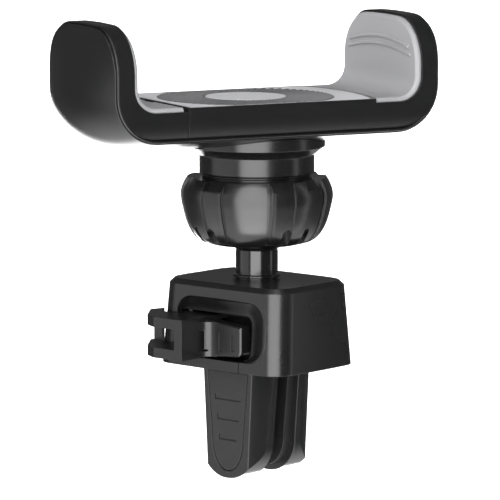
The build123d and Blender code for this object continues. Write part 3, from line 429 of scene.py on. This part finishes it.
def newTree(name, inputs):
    tree = bpy.data.node_groups.new(name, "GeometryNodeTree")
    tree.interface.new_socket("Geometry", in_out="INPUT", socket_type="NodeSocketGeometry")
    for label, kind, value in inputs:
        socket = tree.interface.new_socket(label, in_out="INPUT", socket_type=kind)
        socket.default_value = value
    tree.interface.new_socket("Material", in_out="INPUT", socket_type="NodeSocketMaterial")
    tree.interface.new_socket("Geometry", in_out="OUTPUT", socket_type="NodeSocketGeometry")
    return tree, tree.nodes.new("NodeGroupInput"), tree.nodes.new("NodeGroupOutput")


def endTree(tree, enter, leave, geometry):
    realize = tree.nodes.new("GeometryNodeRealizeInstances")
    paint = tree.nodes.new("GeometryNodeSetMaterial")
    tree.links.new(geometry, realize.inputs["Geometry"])
    tree.links.new(realize.outputs["Geometry"], paint.inputs["Geometry"])
    tree.links.new(enter.outputs["Material"], paint.inputs["Material"])
    tree.links.new(paint.outputs["Geometry"], leave.inputs["Geometry"])


def growMesh(name, mesh, tree, values):
    seed = bpy.data.objects.new(name + "Seed", mesh)
    scene.collection.objects.link(seed)
    modifier = seed.modifiers.new("grow", "NODES")
    modifier.node_group = tree
    for item in tree.interface.items_tree:
        if item.item_type == "SOCKET" and item.in_out == "INPUT" and item.name in values:
            modifier[item.identifier] = values[item.name]
    seen = seed.evaluated_get(bpy.context.evaluated_depsgraph_get())
    grown = bpy.data.meshes.new_from_object(seen)
    grown.name = name
    seed.modifiers.clear()
    bpy.data.objects.remove(seed)
    return grown


# Outline of the two cradle halves, shared by the beads and the covers
jawSetup = {
    "corner": 9.0 * mm,  # between the underside and a jaw
    "topCorner": 10.0 * mm,
    "topBow": 0.7 * mm,  # rise of a jaw's top towards its middle
}
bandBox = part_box("sliding_jaw_frame")
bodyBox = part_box("cradle_frame")
bandLow, bandSide, jawTop = bandBox[0].z, bandBox[1].y, bandBox[1].z
halves = {  # x of the seam or inner end, and of the jaw's outer face
    "cradle": (bodyBox[0].x, bodyBox[1].x),
    "sliding_jaw": (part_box("sliding_jaw_cover")[1].x, bandBox[0].x),
}


def jawTopShape(inset):
    w, bow = bandSide - inset, jawSetup["topBow"]
    bowRadius = (w * w + bow * bow) / (2 * bow)
    bowMiddle = jawTop - inset - bowRadius
    r = jawSetup["topCorner"] - inset
    cornerY = w - r
    cornerZ = bowMiddle + math.sqrt((bowRadius - r) ** 2 - cornerY**2)
    return bowRadius, bowMiddle, r, cornerY, cornerZ


# Bead between the crowned covers and the band, along the underside and round each jaw
beadSetup = {
    "radius": 0.24 * mm,
    "inset": 0.26 * mm,  # from the band's side faces
    "sink": 0.08 * mm,  # its middle outside the band's lower face
    "steps": 12,
}
wireSides = 10


def beadPath(setup, start, outer):
    side = 1 if outer > start else -1
    sink, steps, corner = setup["sink"], setup["steps"], jawSetup["corner"]
    w, face = bandSide - setup["inset"], outer + side * sink
    points = [Vector((start, -w, bandLow - sink))]
    r = corner + sink
    for step in range(steps + 1):
        t = math.pi / 2 * step / steps
        x = outer - side * corner + side * r * math.sin(t)
        points.append(Vector((x, -w, bandLow + corner - r * math.cos(t))))
    bowRadius, bowMiddle, r, cornerY, cornerZ = jawTopShape(setup["inset"])
    turnEnd = math.atan2(cornerZ - bowMiddle, -cornerY)
    for step in range(steps + 1):
        t = math.pi + (turnEnd - math.pi) * step / steps
        points.append(Vector((face, r * math.cos(t) - cornerY, cornerZ + r * math.sin(t))))
    for step in range(1, steps):
        t = turnEnd + (math.pi / 2 - turnEnd) * step / steps
        points.append(Vector((face, bowRadius * math.cos(t), bowMiddle + bowRadius * math.sin(t))))
    points.append(Vector((face, 0, jawTop - setup["inset"])))
    points += [Vector((p.x, -p.y, p.z)) for p in reversed(points[:-1])]
    return points


def makeWireTree():
    tree, enter, leave = newTree("beadAlongPath", [("Radius", "NodeSocketFloat", 0.0002)])
    make, link = tree.nodes.new, tree.links.new
    path = make("GeometryNodeMeshToCurve")
    section = make("GeometryNodeCurvePrimitiveCircle")
    section.inputs["Resolution"].default_value = wireSides
    sweep = make("GeometryNodeCurveToMesh")
    sweep.inputs["Fill Caps"].default_value = True
    smooth = make("GeometryNodeSetShadeSmooth")
    link(enter.outputs["Geometry"], path.inputs["Mesh"])
    link(enter.outputs["Radius"], section.inputs["Radius"])
    link(path.outputs["Curve"], sweep.inputs["Curve"])
    link(section.outputs["Curve"], sweep.inputs["Profile Curve"])
    link(sweep.outputs["Mesh"], smooth.inputs["Geometry"])
    endTree(tree, enter, leave, smooth.outputs["Geometry"])
    return tree


wireTree = makeWireTree()
for name, body in (("fixedBead", "cradle"), ("slidingBead", "sliding_jaw")):
    beadMesh = growMesh(
        name, lineMesh(name, beadPath(beadSetup, *halves[body])), wireTree,
        {"Radius": beadSetup["radius"], "Material": made["cradle_plastic"]},
    )
    addPiece(name, beadMesh, body, "cradle_plastic")
print("beads done")


# Thread that shows between the collar and the nut
threadSetup = {
    "radius": 11.15 * mm,
    "wire": 0.3 * mm,
    "turns": 1.15,
    "rise": 0.42 * mm,
    "gap": 0.04 * mm,  # above the nut
    "steps": 90,
}


def threadPath(setup):
    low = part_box("lock_nut")[1].z + setup["wire"] + setup["gap"]
    radius, points = setup["radius"], []
    for step in range(setup["steps"] + 1):
        share = step / setup["steps"]
        t = 2 * math.pi * setup["turns"] * share
        points.append(Vector((radius * math.cos(t), radius * math.sin(t), low + setup["rise"] * share)))
    return points


threadMesh = growMesh(
    "collarThread", lineMesh("collarThread", threadPath(threadSetup)), wireTree,
    {"Radius": threadSetup["wire"], "Material": made["collar_plastic"]},
)
addPiece("collarThread", threadMesh, "cradle", "collar_plastic")
print("thread done")


# Toothed rubber ring round the pale disc, cut straight where it meets the platform's sides
ringSetup = {
    "teeth": 64,
    "toothDepth": 0.55 * mm,
    "toothPoints": 6,  # points of the outline to each tooth and its gap
    "ribWidth": 0.62 * mm,
    "ribHeight": 0.16 * mm,
    "ribTops": (1 / 3, 0.7),  # top width of a rib at its inner and outer end
    "ribMargin": 0.7 * mm,
    "ribSink": 0.02 * mm,
    "plateDrop": 0.12 * mm,  # plate's top below the ring's
}
leastSine = 0.001  # keeps a division by a sine finite


def ringSizes(setup):
    low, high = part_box("grip_ring")
    discLow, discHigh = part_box("centre_disc")
    return {
        "middle": (discLow.x + discHigh.x) / 2,
        "inner": (discHigh.x - discLow.x) / 2,
        "outer": (high.x - low.x) / 2,
        "trim": high.y,
        "top": high.z - setup["plateDrop"],
        "bottom": low.z,
    }


def makeRingPlate(setup, size):
    pointsInTooth = setup["toothPoints"]
    count = setup["teeth"] * pointsInTooth
    rings = []
    mesh = bmesh.new()
    for z in (size["bottom"], size["top"]):
        for kind in ("inner", "outer"):
            row = []
            for i in range(count):
                t = 2 * math.pi * i / count
                r = size["inner"]
                if kind == "outer":
                    gap = i % pointsInTooth >= pointsInTooth / 2
                    r = size["outer"] - (setup["toothDepth"] if gap else 0)
                    r = min(r, size["trim"] / max(abs(math.sin(t)), leastSine))
                row.append(mesh.verts.new((size["middle"] + r * math.cos(t), r * math.sin(t), z)))
            rings.append(row)
    innerLow, outerLow, innerTop, outerTop = rings
    for i in range(count):
        j = (i + 1) % count
        mesh.faces.new((innerTop[i], outerTop[i], outerTop[j], innerTop[j]))
        mesh.faces.new((innerLow[j], outerLow[j], outerLow[i], innerLow[i]))
        mesh.faces.new((outerLow[i], outerLow[j], outerTop[j], outerTop[i]))
        mesh.faces.new((innerLow[j], innerLow[i], innerTop[i], innerTop[j]))
    return closeMesh(mesh, "ringPlate")


def makeRibTree():
    tree, enter, leave = newTree(
        "ribsRoundDisc",
        [
            ("Count", "NodeSocketInt", 64),
            ("Inner Radius", "NodeSocketFloat", 0.009),
            ("Outer Radius", "NodeSocketFloat", 0.018),
            ("Trim", "NodeSocketFloat", 0.015),
            ("Centre", "NodeSocketVector", (0, 0, 0)),
        ],
    )
    make, link, given = tree.nodes.new, tree.links.new, enter.outputs

    def maths(operation, first, second=None):
        node = make("ShaderNodeMath")
        node.operation = operation
        for socket, value in zip(node.inputs, (first, second)):
            if isinstance(value, (int, float)):
                socket.default_value = value
            elif value is not None:
                link(value, socket)
        return node.outputs["Value"]

    circle = make("GeometryNodeMeshCircle")
    link(given["Count"], circle.inputs["Vertices"])
    link(given["Inner Radius"], circle.inputs["Radius"])
    index = make("GeometryNodeInputIndex").outputs["Index"]
    angle = maths("DIVIDE", maths("MULTIPLY", index, 2 * math.pi), given["Count"])
    sine = maths("MAXIMUM", maths("ABSOLUTE", maths("SINE", angle)), leastSine)
    reach = maths("MINIMUM", maths("DIVIDE", given["Trim"], sine), given["Outer Radius"])
    length = maths("SUBTRACT", reach, given["Inner Radius"])
    size = make("ShaderNodeCombineXYZ")
    link(length, size.inputs["X"])
    size.inputs["Y"].default_value = size.inputs["Z"].default_value = 1
    heading = make("ShaderNodeCombineXYZ")
    link(angle, heading.inputs["Z"])
    turn = make("FunctionNodeEulerToRotation")
    link(heading.outputs["Vector"], turn.inputs["Euler"])
    place = make("GeometryNodeInstanceOnPoints")
    link(circle.outputs["Mesh"], place.inputs["Points"])
    link(given["Geometry"], place.inputs["Instance"])
    link(turn.outputs["Rotation"], place.inputs["Rotation"])
    link(size.outputs["Vector"], place.inputs["Scale"])
    move = make("GeometryNodeTransform")
    link(place.outputs["Instances"], move.inputs["Geometry"])
    link(given["Centre"], move.inputs["Translation"])
    endTree(tree, enter, leave, move.outputs["Geometry"])
    return tree


def makeRib(setup):
    # One unit long, and twice as wide at its outer end
    w, h = setup["ribWidth"] / 2, setup["ribHeight"]
    near, far = setup["ribTops"]
    verts = [(0, -w / 2, 0), (0, w / 2, 0), (1, w, 0), (1, -w, 0),
             (0, -w * near, h), (0, w * near, h), (1, w * far, h), (1, -w * far, h)]
    faces = [(0, 1, 2, 3), (7, 6, 5, 4), (4, 5, 1, 0), (5, 6, 2, 1), (6, 7, 3, 2), (7, 4, 0, 3)]
    rib = bpy.data.meshes.new("ringRib")
    rib.from_pydata(verts, [], faces)
    return rib


ring = ringSizes(ringSetup)
addPiece("ringPlate", makeRingPlate(ringSetup, ring), "cradle", "ring_rubber", "grip_ring")
ribMesh = growMesh(
    "ringRibs", makeRib(ringSetup), makeRibTree(),
    {
        "Count": ringSetup["teeth"],
        "Inner Radius": ring["inner"] + ringSetup["ribMargin"],
        "Outer Radius": ring["outer"] - ringSetup["toothDepth"] / 2,
        "Trim": ring["trim"] - ringSetup["ribMargin"] / 2,
        "Centre": (ring["middle"], 0, ring["top"] - ringSetup["ribSink"]),
        "Material": made["ring_rubber"],
    },
)
addPiece("ringRibs", ribMesh, "cradle", "ring_rubber")
print("ring done, teeth:", ringSetup["teeth"])


# The clip stands turned round the main axis, and its rear jaw faces the other way
clipTurn = -68.0
clipJaws = {"front": clipTurn, "rear": clipTurn + 180}


def clipPlace(turn, u, forward, height):
    return acrossOf(turn) * u + aheadOf(turn) * forward + Vector((0, 0, height))


# Smooth rubber pads between the paddles, ribbed only on the faces that grip the vent blade
padSetup = {
    "face": 1.27 * mm,  # from the blade's middle
    "seat": 3.55 * mm,
    "halfWidth": 7.45 * mm,
    "tipNarrowing": 1.3 * mm,
    "tipRound": 7.6 * mm,
    "tipSteps": 28,
    "bend": 2.25,
    "ribDrop": 0.3 * mm,
    "ribOverlap": 0.05 * mm,
    "ribLift": 0.6 * mm,  # of the rows above the pad's middle
    "ribMargin": 3.4 * mm,
    "ribPitch": 3.0 * mm,
    "ribCount": 6,
    "ribWidth": 2.1 * mm,
    "shortestRib": 0.05,  # squared share of the full length
}


def tonguePoints(setup, tip, top):
    half, tipRound, steps = setup["halfWidth"], setup["tipRound"], setup["tipSteps"]
    power = 2 / setup["bend"]
    points = []
    for step in range(steps + 1):
        t = math.pi * step / steps
        c, s = math.cos(t), math.sin(t)
        u = (half - setup["tipNarrowing"]) * math.copysign(abs(c) ** power, c)
        points.append((u, tip + tipRound * (1 - abs(s) ** power)))
    return points + [(-half, top), (half, top)]


def addSlab(mesh, turn, outline, back, front):
    rows = [[mesh.verts.new(clipPlace(turn, u, f, h)) for u, h in outline] for f in (back, front)]
    mesh.faces.new(list(reversed(rows[0])))
    mesh.faces.new(rows[1])
    for i in range(len(outline)):
        j = (i + 1) % len(outline)
        mesh.faces.new((rows[0][i], rows[0][j], rows[1][j], rows[1][i]))


def makePad(label, turn, setup):
    low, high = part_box(label + "_jaw_pad")
    ground = setup["face"] + setup["ribDrop"]
    mesh = bmesh.new()
    addSlab(mesh, turn, tonguePoints(setup, low.z, high.z), setup["seat"], ground)
    middle = (low.z + high.z) / 2 + setup["ribLift"]
    half = setup["halfWidth"] - setup["ribMargin"] - setup["tipNarrowing"] / 2
    for row in range(setup["ribCount"]):
        height = middle + (row - (setup["ribCount"] - 1) / 2) * setup["ribPitch"]
        share = min(1, (height - low.z) / setup["tipRound"])
        w = half * math.sqrt(max(setup["shortestRib"], 1 - (1 - share) ** 2))
        below, above = height - setup["ribWidth"] / 2, height + setup["ribWidth"] / 2
        rib = [(w, below), (w, above), (-w, above), (-w, below)]
        addSlab(mesh, turn, rib, ground + setup["ribOverlap"], setup["face"])
    return closeMesh(mesh, label + "Pad")


for label, turn in clipJaws.items():
    jaw = label + "_jaw"
    addPiece(label + "Pad", makePad(label, turn, padSetup), jaw, "clip_rubber", jaw + "_pad")
print("clip pads done")


# Smooth crowned covers that thin out towards the tops of the jaws
coverSetup = {
    "inset": 0.5 * mm,  # from the band's outline
    "edge": 0.6 * mm,
    "crown": 3.1 * mm,
    "topCrown": 0.5 * mm,
    "leanStart": 9.0 * mm,  # above the band's lower face
    "leanBend": 1.25,
    "columns": 28,
    "steps": 14,
    "sharpAngle": 35,
    "hole": 8.0 * mm,  # radius of the opening for the collar
    "holeSides": 64,
    "holeReach": (-10 * mm, 5 * mm),  # below and above the band's lower face
}


def coverTop(inset, y):
    bowRadius, bowMiddle, r, cornerY, cornerZ = jawTopShape(inset)
    y = abs(y)
    if y <= cornerY * bowRadius / (bowRadius - r):
        return bowMiddle + math.sqrt(bowRadius**2 - y * y)
    return cornerZ + math.sqrt(max(0, r * r - (y - cornerY) ** 2))


def coverStations(setup, y, start, outer):
    # Places on the band along one column, each with its way outwards
    side = 1 if outer > start else -1
    corner, steps = jawSetup["corner"], setup["steps"]
    bend, level = outer - side * corner, bandLow + corner
    stations = []
    for step in range(steps):
        x = start + (bend - start) * step / steps
        stations.append((Vector((x, y, bandLow)), Vector((0, 0, -1))))
    for step in range(steps + 1):
        t = math.pi / 2 * step / steps
        way = Vector((side * math.sin(t), 0, -math.cos(t)))
        stations.append((Vector((bend, y, level)) + way * corner, way))
    top = coverTop(setup["inset"], y)
    for step in range(1, steps + 1):
        z = level + (top - bandLow - corner) * step / steps
        stations.append((Vector((outer, y, z)), Vector((side, 0, 0))))
    return stations


def coverDepth(setup, z, y):
    lean = bandLow + setup["leanStart"]
    share = min(1, max(0, (z - lean) / (jawTop - lean))) ** setup["leanBend"]
    crown = setup["crown"] + (setup["topCrown"] - setup["crown"]) * share
    edge = min(setup["edge"], crown)
    return edge + (crown - edge) * (1 - (y / (bandSide - setup["inset"])) ** 2)


def makeCover(name, setup, start, outer):
    columns = setup["columns"]
    mesh = bmesh.new()
    skin, back = [], []
    for column in range(columns + 1):
        y = (bandSide - setup["inset"]) * math.sin(math.pi / 2 * (2 * column / columns - 1))
        skinRow, backRow = [], []
        for place, way in coverStations(setup, y, start, outer):
            skinRow.append(mesh.verts.new(place + way * coverDepth(setup, place.z, y)))
            backRow.append(mesh.verts.new(place))
        skin.append(skinRow)
        back.append(backRow)
    rows = len(skin[0])
    for i in range(columns):
        for j in range(rows - 1):
            mesh.faces.new((skin[i][j], skin[i + 1][j], skin[i + 1][j + 1], skin[i][j + 1]))
            mesh.faces.new((back[i][j + 1], back[i + 1][j + 1], back[i + 1][j], back[i][j]))
        for j in (0, rows - 1):
            mesh.faces.new((skin[i][j], back[i][j], back[i + 1][j], skin[i + 1][j]))
    for j in range(rows - 1):
        for i in (0, columns):
            mesh.faces.new((skin[i][j], skin[i][j + 1], back[i][j + 1], back[i][j]))
    return closeMesh(mesh, name, setup["sharpAngle"])


def cutHole(name, mesh, setup):
    whole = bpy.data.objects.new(name + "Whole", mesh)
    scene.collection.objects.link(whole)
    low, high = (bandLow + reach for reach in setup["holeReach"])
    drill = bmesh.new()
    bmesh.ops.create_cone(
        drill, cap_ends=True, segments=setup["holeSides"],
        radius1=setup["hole"], radius2=setup["hole"], depth=high - low,
    )
    bmesh.ops.translate(drill, verts=drill.verts, vec=(0, 0, (low + high) / 2))
    drillMesh = bpy.data.meshes.new(name + "Drill")
    drill.to_mesh(drillMesh)
    drill.free()
    tool = bpy.data.objects.new(name + "Drill", drillMesh)
    scene.collection.objects.link(tool)
    cut = whole.modifiers.new("hole", "BOOLEAN")
    cut.object = tool
    cut.operation = "DIFFERENCE"
    cut.solver = "EXACT"
    seen = whole.evaluated_get(bpy.context.evaluated_depsgraph_get())
    result = bpy.data.meshes.new_from_object(seen)
    result.name = name
    for helper in (whole, tool):
        bpy.data.objects.remove(helper)
    return result


slidingCover = makeCover("slidingCover", coverSetup, *halves["sliding_jaw"])
addPiece("slidingCover", slidingCover, "sliding_jaw", "cover_plastic", "sliding_jaw_cover")
fixedCover = cutHole("fixedCover", makeCover("fixedCover", coverSetup, *halves["cradle"]), coverSetup)
addPiece("fixedCover", fixedCover, "cradle", "cover_plastic", "back_cover")
print("covers done")


# Soft bowl between the housing's face and the opening for the lever
scoopSetup = {
    "depth": 1.45 * mm,
    "wall": 0.35 * mm,
    "steps": 12,
    "cornerSteps": 10,
    "outer": {
        "left": -11.1 * mm, "right": 13.4 * mm, "low": 14.15 * mm, "top": 27.35 * mm,
        "round": 4.4 * mm, "foot": 8.5 * mm,
    },
    "inner": {
        "left": -10.9 * mm, "right": 8.5 * mm, "low": 14.4 * mm, "top": 23.4 * mm,
        "round": 1.6 * mm, "foot": 6.5 * mm,
    },
    "leftEnd": 23.2 * mm,  # height where it stops above the fork
    "faceForward": 13.15 * mm,
    "faceDraft": 1.35 * mm,
    "bow": 0.45 * mm,
    "halfWidth": 16.9 * mm,
    "lip": 0.06 * mm,
    "sharpAngle": 50,
}


def archPoints(shape, leftEnd, cornerSteps):
    r, foot = shape["round"], shape["foot"]
    right, upper = shape["right"] - r, shape["top"] - r
    points = [(foot, shape["low"]), (foot + (right - foot) / 2, shape["low"])]
    for cx, cz, begin in (
        (right, shape["low"] + r, -90), (right, upper, 0), (shape["left"] + r, upper, 90),
    ):
        for step in range(cornerSteps + 1):
            t = math.radians(begin + 90 * step / cornerSteps)
            points.append((cx + r * math.cos(t), cz + r * math.sin(t)))
    points.append((shape["left"], min(leftEnd, upper)))
    return points


def housingFace(setup, u, height):
    low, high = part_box("clip_housing")
    share = (height - low.z) / (high.z - low.z)
    bow = setup["bow"] * (1 - (u / setup["halfWidth"]) ** 2)
    return setup["faceForward"] - setup["faceDraft"] * share + bow


def makeScoop(setup):
    outer = archPoints(setup["outer"], setup["leftEnd"], setup["cornerSteps"])
    inner = archPoints(setup["inner"], setup["leftEnd"], setup["cornerSteps"])
    mesh = bmesh.new()
    rows = []
    for (u0, h0), (u1, h1) in zip(outer, inner):
        if u1 < 0:
            h1 = max(h1, setup["leftEnd"])
        lines = []
        for wall in (0, setup["wall"]):
            line = []
            for step in range(setup["steps"] + 1):
                s = step / setup["steps"]
                u, h = u0 + (u1 - u0) * s, h0 + (h1 - h0) * s
                dip = setup["depth"] * s * s * (3 - 2 * s) + setup["lip"] + wall
                line.append(clipPlace(clipTurn, u, housingFace(setup, u, h) - dip, h))
            lines.append(line)
        rows.append([mesh.verts.new(place) for place in lines[0] + lines[1][::-1]])
    for row, following in zip(rows, rows[1:]):
        for i in range(len(row)):
            j = (i + 1) % len(row)
            mesh.faces.new((row[i], row[j], following[j], following[i]))
    for end in (rows[0], rows[-1]):
        mesh.faces.new(end)
    return closeMesh(mesh, "recessScoop", setup["sharpAngle"])


addPiece("recessScoop", makeScoop(scoopSetup), "vent_clip", "housing_plastic")
print("recess scoop done")


# Paddle shells and inlays: copies of the CAD meshes in which the inlay's tip is rounder
inlaySetup = {
    "front": 9.2 * mm,
    "depth": 0.8 * mm,
    "bedSlack": 0.05 * mm,
    "outlineSlack": 0.03 * mm,  # how near a point lies to the old outline to be on it
    "tipRound": 7.6 * mm,
    "narrowing": 1.3 * mm,
    "bend": 2.2,
    "arcMiddle": (0.62, 0.8),  # middle point of the old outline, as shares of its sizes
    "shell": {"half": 5.6 * mm, "tip": -9.95 * mm},  # bed of the inlay
    "grip": {"half": 5.45 * mm, "tip": -9.8 * mm},
}


def pointedReach(angle, low, tipRound, arcMiddle):
    # Circle through the flank's end, a middle point and the tip, seen from the tongue's middle
    bx, bz, cz = arcMiddle[0] * low, -arcMiddle[1] * tipRound, -tipRound
    d = 2 * (low * (bz - cz) + bx * cz)
    b2, c2 = bx * bx + bz * bz, cz * cz
    ux = (low * low * (bz - cz) + b2 * cz - c2 * bz) / d
    uz = (low * low * -bx + b2 * low + c2 * (bx - low)) / d
    along = ux * math.sin(angle) - uz * math.cos(angle)
    return along + math.sqrt(max(0, along * along + low * low - 2 * low * ux))


def roundReach(angle, low, tipRound, bend):
    sideShare = (math.sin(angle) / low) ** bend
    return (sideShare + (abs(math.cos(angle)) / tipRound) ** bend) ** (-1 / bend)


def roundInlay(node, turn, size, setup):
    across, ahead, tipRound = acrossOf(turn), aheadOf(turn), setup["tipRound"]
    low, middle = size["half"] - setup["narrowing"], size["tip"] + tipRound
    bed = setup["front"] - setup["depth"] - setup["bedSlack"]
    mesh = nodes[node].data.copy()
    moved = 0
    for vertex in mesh.vertices:
        u, h = vertex.co.dot(across), vertex.co.z - middle
        if h > 0 or vertex.co.dot(ahead) < bed:
            continue
        r, angle = math.hypot(u, h), math.atan2(abs(u), -h)
        old = pointedReach(angle, low, tipRound, setup["arcMiddle"])
        if abs(r - old) < setup["outlineSlack"]:
            new = roundReach(angle, low, tipRound, setup["bend"])
            vertex.co += (across * u + Vector((0, 0, h))) * (new / old - 1)
            moved += 1
    print(node, "points moved:", moved)
    return mesh


for label, turn in clipJaws.items():
    jaw = label + "_jaw"
    for kind, ending, slotName in (
        ("shell", "Paddle", "paddle_plastic"), ("grip", "Inlay", "grip_rubber"),
    ):
        node = jaw + "_" + kind
        addPiece(label + ending, roundInlay(node, turn, inlaySetup[kind], inlaySetup), jaw, slotName, node)
print("paddles done")


# The spring between the jaws' arms, copied from the CAD mesh into a mesh of its own
spring = addPiece("clipSpring", nodes["jaw_spring"].data.copy(), "vent_clip", "steel", "jaw_spring")
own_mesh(spring)
print("spring done")
